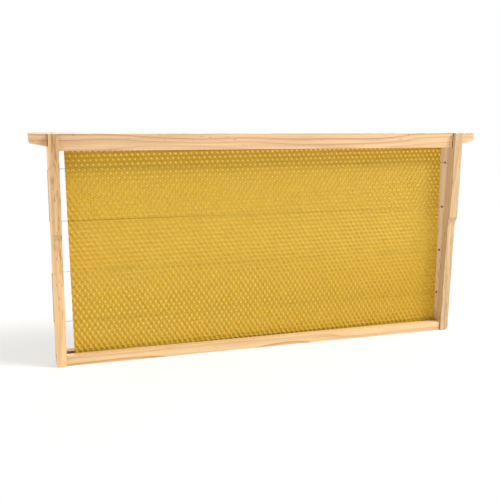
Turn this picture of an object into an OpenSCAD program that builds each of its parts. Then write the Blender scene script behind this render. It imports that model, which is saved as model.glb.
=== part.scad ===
// Self-spacing deep brood frame, wired, with a sheet of wax foundation.
// Millimetres. X runs along the top bar, Y across the frame and Z up.
// The origin is the middle of the underside.

/* [Frame] */
// Distance over the outer faces of the two end bars
frame_span = 448; // [300:1:520]
// Height from the underside to the top of the top bar
frame_height = 230; // [205:1:300]

/* [Top bar] */
// Width of the top bar
top_bar_width = 26; // [24:0.5:30]
// Thickness of the top bar between the end bars
top_bar_thickness = 16; // [14:0.5:22]
// Length of each lug outside its end bar
lug_length = 17; // [12:0.5:25]
// Thickness of a lug where it leaves the end bar
lug_root_thickness = 12; // [10:0.1:13]
// Thickness of a lug at its tip
lug_tip_thickness = 8.6; // [6:0.1:9.5]
// Radius of the lower corner of a lug's tip
lug_tip_radius = 1.8; // [0.5:0.1:3]
// Width of the neck that the fork of an end bar grips
neck_width = 22; // [17:0.5:23]
// Width of the groove for the upper edge of the sheet
top_groove_width = 3; // [2.6:0.1:5]
// Depth of the groove for the upper edge of the sheet
top_groove_depth = 4; // [3:0.1:6]

/* [End bars] */
// Thickness of an end bar
end_bar_thickness = 9.5; // [8:0.1:14]
// Width of the upper part, which sets the distance from frame to frame
spacer_width = 35; // [32:0.1:38]
// Length of the upper part, from the top down to the shoulder
spacer_length = 95; // [75:1:120]
// Width of the lower part
waist_width = 27.5; // [26:0.5:30]
// Radius of the scoop under the shoulder
scoop_radius = 20; // [8:1:40]
// Radius of the lower outer corner at the left end
left_corner_radius = 1; // [0.5:0.1:5]
// Radius of the lower outer corner at the right end
right_corner_radius = 4; // [0.5:0.1:5]

/* [Bottom bar] */
// Width of the bottom bar between the end bars
bottom_bar_width = 24; // [21:0.5:25.5]
// Thickness of the bottom bar
bottom_bar_thickness = 10; // [8:0.5:14]
// Width of the tenon at each end
tenon_width = 19; // [16:0.5:20]
// Width of the groove for the lower edge of the sheet
bottom_groove_width = 8; // [4:0.5:9]
// Depth of the groove for the lower edge of the sheet
bottom_groove_depth = 4.5; // [3:0.1:6]

/* [Foundation sheet] */
// Thickness of the sheet over the embossing
sheet_thickness = 1.8; // [1:0.1:2.4]
// Gap from the left end bar to the sheet at its upper edge
left_gap_top = 5.6; // [0.5:0.1:12]
// Gap from the left end bar to the sheet at its lower edge
left_gap_bottom = 8.7; // [0.5:0.1:12]
// Gap from the right end bar to the sheet at its upper edge
right_gap_top = 6.8; // [0.5:0.1:12]
// Gap from the right end bar to the sheet at its lower edge
right_gap_bottom = 0.8; // [0.5:0.1:12]
// Room between an edge of the sheet and the floor of its groove
sheet_edge_room = 0.5; // [0.1:0.1:0.9]

/* [Wire and eyelets] */
// Diameter of the wire
wire_diameter = 0.5; // [0.3:0.05:0.8]
// Distance from the top of the frame to the highest wire
wire_top_inset = 34; // [26:0.5:45]
// Distance from the underside of the frame to the lowest wire
wire_bottom_inset = 43; // [34:0.5:60]
// Outer diameter of an eyelet's tube
eyelet_diameter = 3; // [2.6:0.1:4]
// Wall of an eyelet's tube
eyelet_wall = 0.3; // [0.2:0.05:0.4]
// Length of an eyelet's tube inside the wood
eyelet_length = 7; // [4:0.1:7.5]
// Diameter of an eyelet's flange
eyelet_flange_diameter = 5; // [4.6:0.1:7]
// Thickness of an eyelet's flange
eyelet_flange_thickness = 0.5; // [0.3:0.05:0.8]

/* [Nails and tacks] */
// Diameter of a nail's shank
nail_diameter = 1.5; // [1.2:0.1:2]
// Diameter of a nail's head
nail_head_diameter = 3; // [2.4:0.1:4]
// Thickness of a nail's head
nail_head_thickness = 0.7; // [0.4:0.1:1]
// Length of a nail's point
nail_point_length = 2; // [1:0.1:3]
// Length of a top nail under its head
top_nail_length = 32; // [20:1:40]
// Distance between the two top nails of a joint
top_nail_spacing = 12; // [8:0.5:13]
// Length of a bottom nail under its head
bottom_nail_length = 25; // [18:1:28]
// Diameter of a tack's shank
tack_diameter = 1.2; // [1:0.1:1.6]
// Diameter of a tack's head
tack_head_diameter = 3.2; // [2.6:0.1:4]
// Thickness of a tack's head
tack_head_thickness = 0.6; // [0.4:0.1:1]
// Length of a tack's point
tack_point_length = 1.5; // [0.8:0.1:2]
// Length of a tack under its head
tack_length = 8; // [5:0.5:8.5]
// Distance from a wire hole to the tack that the wire is tied to
tack_distance = 14; // [8:0.5:16]

/* [Clearances] */
// Clearance on each side of a wood joint
joint_clearance = 0.1; // [0:0.05:0.3]
// Clearance round a nail or tack in its hole
nail_clearance = 0.05; // [0:0.01:0.1]
// Clearance round an eyelet in its hole
eyelet_clearance = 0.05; // [0:0.01:0.1]
// Clearance between the wire and what it lies on
wire_clearance = 0.05; // [0.01:0.01:0.1]

/* [Hidden] */
$fn = 48;

LEFT = -1;
RIGHT = 1;
FRONT = -1;
BACK = 1;
UP = 1;
DOWN = -1;

// Runs of wire from end bar to end bar, an even number, so that both ends are on the right
wire_runs = 4;
// Part of a turn that each tied end makes round its tack, in degrees
tie_angle = 250;
// Step to which the spacing of the wire holes is set out
drill_step = 0.1;
// Overlap of a cut past the face that it opens
cut_past = 1;

pine = "#E6C596";
wax = "#C8A02C";
brass = "#C9A24A";
steel = "#9A9A98";

outer_x = frame_span / 2;
inner_x = outer_x - end_bar_thickness;
tip_x = outer_x + lug_length;
body_underside_z = frame_height - top_bar_thickness;
neck_underside_z = frame_height - lug_root_thickness;
tip_underside_z = frame_height - lug_tip_thickness;
shoulder_z = frame_height - spacer_length;
shoulder_depth = (spacer_width - waist_width) / 2;
scoop_length = sqrt(2 * scoop_radius * shoulder_depth - pow(shoulder_depth, 2));
joint_x = outer_x - end_bar_thickness / 2;

sheet_top_z = body_underside_z + top_groove_depth - sheet_edge_room;
sheet_bottom_z = bottom_bar_thickness - bottom_groove_depth + sheet_edge_room;

wire_spread = frame_height - wire_top_inset - wire_bottom_inset;
wire_pitch = drill_step * round(wire_spread / (wire_runs - 1) / drill_step);
function wire_z(i) = frame_height - wire_top_inset - (i - 1) * wire_pitch;
eyelet_bore_radius = eyelet_diameter / 2 - eyelet_wall;
// The wire turns inside the mouth of the eyelet and lies on its flange
wire_bend_radius = eyelet_bore_radius - wire_clearance;
wire_stand_off = eyelet_flange_thickness + wire_clearance + wire_diameter / 2;
wire_x = outer_x + wire_stand_off;
bend_x = wire_x - wire_bend_radius;

tie_radius = tack_diameter / 2 + wire_clearance + wire_diameter / 2;
tack_head_x = wire_x + wire_diameter / 2 + wire_clearance;
start_tack_z = wire_z(1) + tack_distance;
end_tack_z = wire_z(wire_runs) - tack_distance;

top_nail_y = top_nail_spacing / 2;
// A bottom nail goes up through the middle of the wood beside the groove
bottom_nail_y = (tenon_width + bottom_groove_width) / 4;

// Side view of the top bar: a thick body, thinner necks and lugs that taper to rounded tips
module top_bar_side() {
    taper = atan2(tip_underside_z - neck_underside_z, lug_length);
    // Where the round of the tip meets the taper, measured from the sharp corner
    tangent = lug_tip_radius * tan((90 - taper) / 2);
    round_x = tip_x - lug_tip_radius;
    round_z = tip_underside_z + tangent;
    body_points = [
        [-inner_x, body_underside_z], [inner_x, body_underside_z],
        [inner_x, frame_height], [-inner_x, frame_height]
    ];
    lug_points = [
        [inner_x, neck_underside_z], [outer_x, neck_underside_z],
        [tip_x - tangent * cos(taper), tip_underside_z - tangent * sin(taper)],
        [round_x, round_z], [tip_x, round_z],
        [tip_x, frame_height], [inner_x, frame_height]
    ];
    polygon(body_points);
    for (side = [LEFT, RIGHT]) {
        mirror([side == LEFT ? 1 : 0, 0]) {
            polygon(lug_points);
            translate([round_x, round_z])
                circle(r = lug_tip_radius);
        }
    }
}

// Space beside a neck, where the tines of an end bar's fork go
module neck_notch(side, face) {
    depth = (top_bar_width - neck_width) / 2;
    translate([
        side * joint_x - end_bar_thickness / 2,
        face * (neck_width / 2 + depth / 2 + cut_past / 2) - (depth + cut_past) / 2,
        body_underside_z - cut_past
    ])
        cube([end_bar_thickness, depth + cut_past, top_bar_thickness + 2 * cut_past]);
}

module top_bar() {
    color(pine)
    difference() {
        translate([0, top_bar_width / 2, 0])
            rotate([90, 0, 0])
                linear_extrude(top_bar_width)
                    top_bar_side();
        for (side = [LEFT, RIGHT], face = [FRONT, BACK]) {
            neck_notch(side, face);
            translate([side * joint_x, face * top_nail_y, frame_height])
                nail_hole(nail_diameter, top_nail_length);
        }
        translate([-inner_x, -top_groove_width / 2, body_underside_z - cut_past])
            cube([2 * inner_x, top_groove_width, top_groove_depth + cut_past]);
    }
}

// Outline of an end bar as its outer face shows it, with the scoops under both shoulders
module end_bar_outline() {
    translate([-waist_width / 2, 0])
        square([waist_width, frame_height]);
    translate([-spacer_width / 2, shoulder_z])
        square([spacer_width, spacer_length]);
    for (face = [FRONT, BACK])
        mirror([face == FRONT ? 1 : 0, 0])
            difference() {
                translate([0, shoulder_z - scoop_length])
                    square([spacer_width / 2, scoop_length]);
                translate([waist_width / 2 + scoop_radius, shoulder_z - scoop_length])
                    circle(r = scoop_radius);
            }
}

// Fork for the neck of the top bar, and mortise for the tenon of the bottom bar
module end_bar_slots() {
    fork_width = neck_width + 2 * joint_clearance;
    mortise_width = tenon_width + 2 * joint_clearance;
    translate([-fork_width / 2, neck_underside_z])
        square([fork_width, lug_root_thickness + cut_past]);
    translate([-mortise_width / 2, -cut_past])
        square([mortise_width, bottom_bar_thickness + cut_past]);
}

// Wood that is taken off the lower outer corner at one end
module corner_cut(side) {
    radius = side == LEFT ? left_corner_radius : right_corner_radius;
    depth = spacer_width;
    mirror([side == LEFT ? 1 : 0, 0, 0])
        translate([outer_x - radius, 0, radius])
            rotate([90, 0, 0])
                difference() {
                    translate([0, -radius - cut_past, -depth / 2])
                        cube([radius + cut_past, radius + cut_past, depth]);
                    translate([0, 0, -depth / 2 - cut_past])
                        cylinder(r = radius, h = depth + 2 * cut_past);
                }
}

module end_bar(side) {
    color(pine)
    difference() {
        translate([side * joint_x - end_bar_thickness / 2, 0, 0])
            rotate([90, 0, 90])
                linear_extrude(end_bar_thickness)
                    difference() {
                        end_bar_outline();
                        end_bar_slots();
                    }
        corner_cut(side);
        for (i = [1 : wire_runs])
            translate([side * joint_x, 0, wire_z(i)])
                rotate([0, 90, 0])
                    cylinder(
                        r = eyelet_diameter / 2 + eyelet_clearance,
                        h = end_bar_thickness + 2 * cut_past, center = true
                    );
        for (face = [FRONT, BACK]) {
            translate([side * joint_x, face * top_nail_y, frame_height])
                nail_hole(nail_diameter, top_nail_length);
            translate([side * joint_x, face * bottom_nail_y, nail_head_thickness])
                mirror([0, 0, 1])
                    nail_hole(nail_diameter, bottom_nail_length);
        }
        if (side == RIGHT)
            for (tack_z = [start_tack_z, end_tack_z])
                translate([tack_head_x, tie_radius, tack_z])
                    rotate([0, 90, 0])
                        nail_hole(tack_diameter, tack_length);
    }
}

module bottom_bar() {
    color(pine)
    difference() {
        union() {
            translate([-inner_x, -bottom_bar_width / 2, 0])
                cube([2 * inner_x, bottom_bar_width, bottom_bar_thickness]);
            translate([-outer_x, -tenon_width / 2, 0])
                cube([frame_span, tenon_width, bottom_bar_thickness]);
        }
        translate([
            -outer_x - cut_past, -bottom_groove_width / 2,
            bottom_bar_thickness - bottom_groove_depth
        ])
            cube([
                frame_span + 2 * cut_past, bottom_groove_width,
                bottom_groove_depth + cut_past
            ]);
        for (side = [LEFT, RIGHT]) {
            corner_cut(side);
            for (face = [FRONT, BACK])
                translate([side * joint_x, face * bottom_nail_y, nail_head_thickness])
                    mirror([0, 0, 1]) {
                        nail_hole(nail_diameter, bottom_nail_length);
                        cylinder(
                            r = nail_head_diameter / 2 + nail_clearance,
                            h = nail_head_thickness + cut_past
                        );
                    }
        }
    }
}

// The sheet is cut a little out of square, so each end has its own gap above and below
module foundation_sheet() {
    color(wax)
    difference() {
        translate([0, sheet_thickness / 2, 0])
            rotate([90, 0, 0])
                linear_extrude(sheet_thickness)
                    polygon([
                        [-inner_x + left_gap_bottom, sheet_bottom_z],
                        [inner_x - right_gap_bottom, sheet_bottom_z],
                        [inner_x - right_gap_top, sheet_top_z],
                        [-inner_x + left_gap_top, sheet_top_z]
                    ]);
        for (i = [1 : wire_runs])
            translate([0, 0, wire_z(i)])
                rotate([0, 90, 0])
                    cylinder(
                        r = wire_diameter / 2 + wire_clearance,
                        h = frame_span, center = true
                    );
    }
}

// Quarter turn from a run of wire, at the mouth of an eyelet, up or down the end bar's outer face
module wire_bend(side, way, z) {
    translate([side * bend_x, 0, z + way * wire_bend_radius])
        mirror([side == LEFT ? 1 : 0, 0, 0])
            mirror([0, 0, way == UP ? 1 : 0])
                rotate([90, 0, 0])
                    rotate_extrude(angle = 90)
                        translate([wire_bend_radius, 0])
                            rotate(-90)
                                circle(d = wire_diameter);
}

module upright_wire(side, low_z, high_z) {
    translate([side * wire_x, 0, low_z])
        rotate([0, 0, 90])
            cylinder(d = wire_diameter, h = high_z - low_z);
}

// Loop of wire from one hole to the next below it, outside an end bar
module wire_loop(side, i) {
    wire_bend(side, DOWN, wire_z(i));
    upright_wire(side, wire_z(i + 1) + wire_bend_radius, wire_z(i) - wire_bend_radius);
    wire_bend(side, UP, wire_z(i + 1));
}

// End of the wire, led from its hole to a tack and turned round the shank
module tied_end(way, hole_z, tack_z) {
    turn_z = hole_z + way * wire_bend_radius;
    wire_bend(RIGHT, way, hole_z);
    upright_wire(RIGHT, min(turn_z, tack_z), max(turn_z, tack_z));
    translate([wire_x, tie_radius, tack_z])
        mirror([0, 0, way == DOWN ? 1 : 0])
            rotate([90, 0, 90])
                rotate([0, 0, 180 - tie_angle])
                    rotate_extrude(angle = tie_angle)
                        translate([tie_radius, 0])
                            rotate(180)
                                circle(d = wire_diameter);
}

module frame_wire() {
    color(steel) {
        for (i = [1 : wire_runs])
            translate([0, 0, wire_z(i)])
                rotate([0, 90, 0])
                    rotate([0, 0, 90])
                        cylinder(d = wire_diameter, h = 2 * bend_x, center = true);
        for (i = [1 : wire_runs - 1])
            wire_loop(i % 2 == 1 ? LEFT : RIGHT, i);
        tied_end(UP, wire_z(1), start_tack_z);
        tied_end(DOWN, wire_z(wire_runs), end_tack_z);
    }
}

// Flanged tube, pushed into its hole from the outer face
module eyelet(side, i) {
    lip = eyelet_flange_thickness / 2;
    flange_reach = eyelet_flange_diameter / 2 - lip - eyelet_bore_radius;
    color(brass)
    translate([side * outer_x, 0, wire_z(i)])
        rotate([0, side * 90, 0])
            rotate_extrude() {
                translate([eyelet_bore_radius, -eyelet_length])
                    square([eyelet_wall, eyelet_length + lip]);
                translate([eyelet_bore_radius, 0])
                    square([flange_reach, eyelet_flange_thickness]);
                translate([eyelet_bore_radius + flange_reach, lip])
                    circle(r = lip);
            }
}

// Nail along -Z with the underside of its head at the origin
module nail(diameter, length, point_length, head_diameter, head_thickness) {
    color(steel)
    rotate_extrude()
        polygon([
            [0, -length], [diameter / 2, point_length - length],
            [diameter / 2, 0], [head_diameter / 2, 0],
            [head_diameter / 2, head_thickness], [0, head_thickness]
        ]);
}

// Hole for a nail along -Z with the underside of its head at the origin
module nail_hole(diameter, length) {
    translate([0, 0, -length - nail_clearance])
        cylinder(d = diameter + 2 * nail_clearance, h = length + nail_clearance + cut_past);
}

module top_nail(side, face) {
    translate([side * joint_x, face * top_nail_y, frame_height])
        nail(
            nail_diameter, top_nail_length, nail_point_length,
            nail_head_diameter, nail_head_thickness
        );
}

// The bottom nails are sunk level with the underside, so that the frame stands on its wood
module bottom_nail(side, face) {
    translate([side * joint_x, face * bottom_nail_y, nail_head_thickness])
        mirror([0, 0, 1])
            nail(
                nail_diameter, bottom_nail_length, nail_point_length,
                nail_head_diameter, nail_head_thickness
            );
}

module wire_tack(z) {
    translate([tack_head_x, tie_radius, z])
        rotate([0, 90, 0])
            nail(
                tack_diameter, tack_length, tack_point_length,
                tack_head_diameter, tack_head_thickness
            );
}

top_bar();
end_bar(LEFT);  // left_end_bar
end_bar(RIGHT);  // right_end_bar
bottom_bar();
foundation_sheet();
frame_wire();
for (i = [1 : wire_runs]) {
    eyelet(LEFT, i);
    eyelet(RIGHT, i);
}
top_nail(LEFT, FRONT);  // top_left_nail_front
top_nail(LEFT, BACK);  // top_left_nail_back
top_nail(RIGHT, FRONT);  // top_right_nail_front
top_nail(RIGHT, BACK);  // top_right_nail_back
bottom_nail(LEFT, FRONT);  // bottom_left_nail_front
bottom_nail(LEFT, BACK);  // bottom_left_nail_back
bottom_nail(RIGHT, FRONT);  // bottom_right_nail_front
bottom_nail(RIGHT, BACK);  // bottom_right_nail_back
wire_tack(start_tack_z);  // wire_start_tack
wire_tack(end_tack_z);  // wire_end_tack
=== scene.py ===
import math

import bmesh
import bpy
from mathutils import Matrix, Vector


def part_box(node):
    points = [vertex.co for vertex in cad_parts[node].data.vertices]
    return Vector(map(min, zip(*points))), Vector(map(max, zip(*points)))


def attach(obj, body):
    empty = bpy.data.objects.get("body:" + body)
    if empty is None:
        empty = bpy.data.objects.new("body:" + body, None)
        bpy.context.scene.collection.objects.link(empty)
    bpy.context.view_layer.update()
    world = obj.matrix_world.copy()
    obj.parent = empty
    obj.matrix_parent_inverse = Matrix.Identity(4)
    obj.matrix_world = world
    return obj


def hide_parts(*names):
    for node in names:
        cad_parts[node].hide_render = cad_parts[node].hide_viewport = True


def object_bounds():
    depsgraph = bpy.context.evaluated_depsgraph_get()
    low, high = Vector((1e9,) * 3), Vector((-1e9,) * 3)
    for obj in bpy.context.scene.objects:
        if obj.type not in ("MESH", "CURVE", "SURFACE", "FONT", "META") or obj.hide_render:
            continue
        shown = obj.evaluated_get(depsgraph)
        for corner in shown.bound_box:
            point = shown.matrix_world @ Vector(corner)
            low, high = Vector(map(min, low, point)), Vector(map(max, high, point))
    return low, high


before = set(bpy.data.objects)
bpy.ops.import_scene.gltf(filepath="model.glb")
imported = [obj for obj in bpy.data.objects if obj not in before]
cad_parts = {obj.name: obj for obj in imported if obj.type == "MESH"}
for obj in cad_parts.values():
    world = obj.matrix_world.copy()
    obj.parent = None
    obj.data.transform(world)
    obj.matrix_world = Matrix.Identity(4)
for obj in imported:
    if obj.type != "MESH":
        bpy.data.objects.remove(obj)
cad_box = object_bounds()

# A self-spacing hive frame: pine bars, a wired sheet of wax foundation, and the brass and steel that
# hold them. A length is in millimetres, and MM turns it into Blender's metres, unless its comment says
# that it is in metres.
MM = 0.001
BODY = "root"
# The sockets of a colour mix: its share, its two colours and its result.
SHARE, FIRST, SECOND, MIXED = 0, 6, 7, 2
# The span that a Map Range node reads and the span that it gives.
SPAN = ("From Min", "From Max", "To Min", "To Max")
# How near two points are joined, and how near a cut passes through a point.
MERGE = 0.002
CUT_NEAR = 0.0001
scene = bpy.context.scene


# Small helpers


def linear(hex_colour):
    """An sRGB hex colour as the linear RGBA that a shader socket takes."""
    channels = [int(hex_colour[i:i + 2], 16) / 255 for i in (1, 3, 5)]
    light = [c / 12.92 if c <= 0.04045 else ((c + 0.055) / 1.055) ** 2.4 for c in channels]
    return (*light, 1.0)


def add(tree, kind, inputs=None, **settings):
    """Adds one node with its settings; an input is a plain value or the socket that feeds it."""
    node = tree.nodes.new(kind)
    for name, value in settings.items():
        setattr(node, name, value)
    for socket, value in (inputs or {}).items():
        if isinstance(value, bpy.types.NodeSocket):
            tree.links.new(value, node.inputs[socket])
        else:
            node.inputs[socket].default_value = value
    return node


def new_material(name):
    """A node material and its empty tree."""
    material = bpy.data.materials.new(name)
    material.use_nodes = True
    tree = material.node_tree
    tree.nodes.clear()
    return material, tree


def set_stops(ramp, stops):
    """Gives a colour ramp its stops, as (place, grey level) pairs."""
    elements = ramp.color_ramp.elements
    while len(elements) > 1:
        elements.remove(elements[-1])
    for i, (place, grey) in enumerate(stops):
        stop = elements[0] if i == 0 else elements.new(place)
        stop.position = place
        stop.color = (grey, grey, grey, 1.0)


def new_object(name, mesh):
    """Links a mesh to the scene as an object at the origin."""
    thing = bpy.data.objects.new(name, mesh)
    scene.collection.objects.link(thing)
    return thing


def plain_mesh(thing, name):
    """The mesh that an object's modifiers give, with the modifiers then taken off."""
    shown = thing.evaluated_get(bpy.context.evaluated_depsgraph_get())
    made = bpy.data.meshes.new_from_object(shown)
    made.name = name
    thing.modifiers.clear()
    return made


def dress(mesh, material):
    """Gives a whole mesh one material."""
    mesh.materials.clear()
    mesh.materials.append(material)
    mesh.polygons.foreach_set("material_index", [0] * len(mesh.polygons))


def hand_in(piece, slot, *nodes):
    """A finished piece rides on the one body and stands for its CAD nodes."""
    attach(piece, BODY)
    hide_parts(*nodes)


def new_tree(name, inputs):
    """A Geometry Nodes group with a geometry socket in and out, and the named inputs."""
    tree = bpy.data.node_groups.new(name, "GeometryNodeTree")
    tree.interface.new_socket("Geometry", in_out="INPUT", socket_type="NodeSocketGeometry")
    for label, kind in inputs:
        tree.interface.new_socket(label, in_out="INPUT", socket_type=kind)
    tree.interface.new_socket("Geometry", in_out="OUTPUT", socket_type="NodeSocketGeometry")
    return tree, add(tree, "NodeGroupInput").outputs


def run_tree(host, tree, values):
    """The plain mesh that a Geometry Nodes tree makes, with its inputs set by socket identifier."""
    modifier = host.modifiers.new(tree.name, "NODES")
    modifier.node_group = tree
    for item in tree.interface.items_tree:
        if item.in_out == "INPUT" and item.name in values:
            modifier[item.identifier] = values[item.name]
    return plain_mesh(host, host.name)


# Camera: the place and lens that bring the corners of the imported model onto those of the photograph.
CAMERA_PLACE = (-259.28, -721.07, 263.55)
CAMERA_YAW = math.radians(18.412)
CAMERA_PITCH = math.radians(-11.706)
CAMERA_ROLL = math.radians(0.77)
CAMERA_LENS = 52.23
CAMERA_SENSOR = 36.0


def aim_camera():
    """Makes the camera from its yaw, pitch and roll."""
    ahead = Vector((math.sin(CAMERA_YAW) * math.cos(CAMERA_PITCH),
                    math.cos(CAMERA_YAW) * math.cos(CAMERA_PITCH),
                    math.sin(CAMERA_PITCH)))
    level = Vector((math.cos(CAMERA_YAW), -math.sin(CAMERA_YAW), 0))
    above = level.cross(ahead)
    right = math.cos(CAMERA_ROLL) * level + math.sin(CAMERA_ROLL) * above
    up = math.cos(CAMERA_ROLL) * above - math.sin(CAMERA_ROLL) * level
    lens = bpy.data.cameras.new("camera")
    lens.lens = CAMERA_LENS
    lens.sensor_width = CAMERA_SENSOR
    camera = bpy.data.objects.new("camera", lens)
    scene.collection.objects.link(camera)
    turn = Matrix((right, up, -ahead)).transposed().to_4x4()
    camera.matrix_world = Matrix.Translation(Vector(CAMERA_PLACE) * MM) @ turn
    scene.camera = camera


# Studio: a pale floor, soft light all round, a broad lamp up to the right, low fills from the left and
# from behind, a low lamp at the back that puts a sheen on the upper faces, and a soft one overhead.
AMBIENT = 0.25
BACKDROP = 1.0
WHITE = (1.0, 1.0, 1.0, 1.0)
# Each lamp: degrees to the right of the front, degrees up, distance, width and height in metres, and the
# share of its written colour to which it alone lights a matt surface that faces it.
LAMPS = (
    ("key_lamp", 61.0, 42.5, 3.6, 1.10, 1.10, 0.94),
    ("left_fill", -60.0, 1.5, 1.5, 2.60, 0.30, 0.37),
    ("back_fill", -115.0, 6.0, 2.0, 1.60, 1.00, 0.34),
    ("sheen_lamp", 160.0, 10.0, 2.0, 1.60, 0.60, 0.70),
    ("top_soft", 5.0, 78.0, 2.0, 1.00, 1.00, 0.22),
)
# The floor's side in metres, how many squares it has each way, and how far it lies below the frame.
FLOOR_SIDE = 12.0
FLOOR_SQUARES = 8
FLOOR_DROP = 0.3
FLOOR_SHOWN = "#F8F8F6"
FLOOR_BOUNCE = "#F2F2F0"
FLOOR_MOTTLE = 333.3
FLOOR_TONE = dict(zip(SPAN, (0.0, 1.0, 0.98, 1.02)))
# From this far out to that, in metres, the floor's own white takes over from its shaded paper.
FLOOR_FADE = dict(zip(SPAN, (0.30, 1.30, 0.52, 1.0)))


def seen_ray(tree):
    """1 for the rays that show the background: from the camera, a mirror or glass."""
    path = add(tree, "ShaderNodeLightPath").outputs
    mirror = add(tree, "ShaderNodeMath", {0: path["Is Camera Ray"], 1: path["Is Glossy Ray"]},
                 operation="MAXIMUM")
    return add(tree, "ShaderNodeMath", {0: mirror.outputs[0], 1: path["Is Transmission Ray"]},
               operation="MAXIMUM").outputs[0]


def light_studio():
    """The world and the lamps."""
    world = bpy.data.worlds.new("studio")
    scene.world = world
    world.use_nodes = True
    tree = world.node_tree
    tree.nodes.clear()
    ambient = add(tree, "ShaderNodeBackground", {"Color": WHITE, "Strength": AMBIENT})
    backdrop = add(tree, "ShaderNodeBackground", {"Color": WHITE, "Strength": BACKDROP})
    both = add(tree, "ShaderNodeMixShader", {
        0: seen_ray(tree), 1: ambient.outputs[0], 2: backdrop.outputs[0]})
    add(tree, "ShaderNodeOutputWorld", {"Surface": both.outputs[0]})
    centre = (cad_box[0] + cad_box[1]) / 2
    for name, right, up, distance, width, height, level in LAMPS:
        light = bpy.data.lights.new(name, "AREA")
        light.shape = "RECTANGLE"
        light.size = width
        light.size_y = height
        # The power that lights a facing matt surface to this level of its written colour.
        light.energy = level * math.pi ** 2 * distance ** 2
        lamp = bpy.data.objects.new(name, light)
        scene.collection.objects.link(lamp)
        turn, rise = math.radians(right), math.radians(up)
        way = Vector((math.sin(turn) * math.cos(rise), -math.cos(turn) * math.cos(rise), math.sin(rise)))
        place = Matrix.Translation(centre + distance * way)
        lamp.matrix_world = place @ way.to_track_quat("Z", "Y").to_matrix().to_4x4()
        lamp.visible_camera = False


def lay_floor():
    """Matt white paper under the frame."""
    material, tree = new_material("matt_paper_floor")
    # Matt white paper: no gloss, a faint mottle, and a pale shadow that fades into the white around it.
    spot = add(tree, "ShaderNodeTexCoord").outputs["Object"]
    mottle = add(tree, "ShaderNodeTexNoise", {
        "Vector": spot, "Scale": 1 / (FLOOR_MOTTLE * MM), "Detail": 2.0})
    seen = seen_ray(tree)
    tone = add(tree, "ShaderNodeMix", {
        SHARE: seen, FIRST: linear(FLOOR_BOUNCE), SECOND: linear(FLOOR_SHOWN)}, data_type="RGBA")
    faint = add(tree, "ShaderNodeMapRange", {"Value": mottle.outputs["Fac"], **FLOOR_TONE})
    mottled = add(tree, "ShaderNodeVectorMath", {0: tone.outputs[MIXED], "Scale": faint.outputs[0]},
                  operation="SCALE")
    paper = add(tree, "ShaderNodeBsdfDiffuse", {"Color": mottled.outputs[0]})
    glow = add(tree, "ShaderNodeEmission", {"Color": WHITE, "Strength": BACKDROP})
    away = add(tree, "ShaderNodeVectorMath", {0: spot}, operation="LENGTH")
    fade = add(tree, "ShaderNodeMapRange", {"Value": away.outputs["Value"], **FLOOR_FADE})
    share = add(tree, "ShaderNodeMath", {0: seen, 1: fade.outputs[0]}, operation="MULTIPLY")
    shown = add(tree, "ShaderNodeMixShader", {
        0: share.outputs[0], 1: paper.outputs[0], 2: glow.outputs[0]})
    add(tree, "ShaderNodeOutputMaterial", {"Surface": shown.outputs[0]})
    sheet = bmesh.new()
    bmesh.ops.create_grid(sheet, x_segments=FLOOR_SQUARES, y_segments=FLOOR_SQUARES, size=FLOOR_SIDE / 2)
    bmesh.ops.translate(sheet, verts=sheet.verts, vec=(0, 0, -FLOOR_DROP * MM))
    mesh = bpy.data.meshes.new("floor")
    sheet.to_mesh(mesh)
    sheet.free()
    mesh.materials.append(material)
    new_object("floor", mesh)


# Pine: planed softwood, seen as pale spring wood with faint tan autumn lines of uneven width, fine fibre
# streaks, short dark resin dashes, a darker end grain, and sawn grooves drawn browner, partly as painted
# shade in their hollows. The tone along each stick and its paler sapwood are partly painted light.
PINE_RESIN = "#9C6334"
PINE_SAWN_SHADE = "#8C5C34"
PINE_IOR = 1.5
PINE_BUMP = 0.06
PINE_BUMP_SHARE = 0.6
# Each pattern along the grain: its length and width, its detail, and where in the noise it starts. Real
# fibres are too fine to show, so these are drawn as coarse as they need to.
WAVE = (190.0, 30.0, 1.0, 0.0)
FIBRE = (90.0, 0.9, 3.0, 5.0)
STREAK = (140.0, 4.5, 2.0, 9.0)
DASH = (9.0, 1.0, 0.0, 13.0)
GRAIN_ROUGHNESS = 0.55
SEED_STEP = 2.3
START_STEP = 1.7
WAVE_HEIGHT = 11.0
RING_SPREAD = 7.0
RING_UNEVEN = 3.5
RING_RELIEF = 0.5
RING_STRENGTH = dict(zip(SPAN, (0.0, 1.0, 0.30, 1.0)))
AUTUMN_STOPS = ((0.0, 0.15), (0.40, 0.0), (0.78, 0.40), (0.94, 1.0), (1.0, 0.25))
STREAK_TONE = dict(zip(SPAN, (0.3, 0.7, 0.92, 1.06)))
FIBRE_TONE = dict(zip(SPAN, (0.28, 0.62, 0.84, 1.05)))
FIBRE_DULL = dict(zip(SPAN, (0.3, 0.7, 0.62, 0.50)))
RESIN_SHARE = dict(zip(SPAN, (0.0, 0.06, 0.0, 0.64)))
SAWN_SHADE_SHARE = 0.7
END_GRAIN_TONE = dict(zip(SPAN, (0.6, 0.95, 1.0, 0.84)))
# The tone of the sapwood band, partly painted light on the left end bar's outer side, and how much rarer
# its resin dashes are.
LIT_SIDE_TONE = 0.94
SAPWOOD_CLEAN = 0.12


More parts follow.
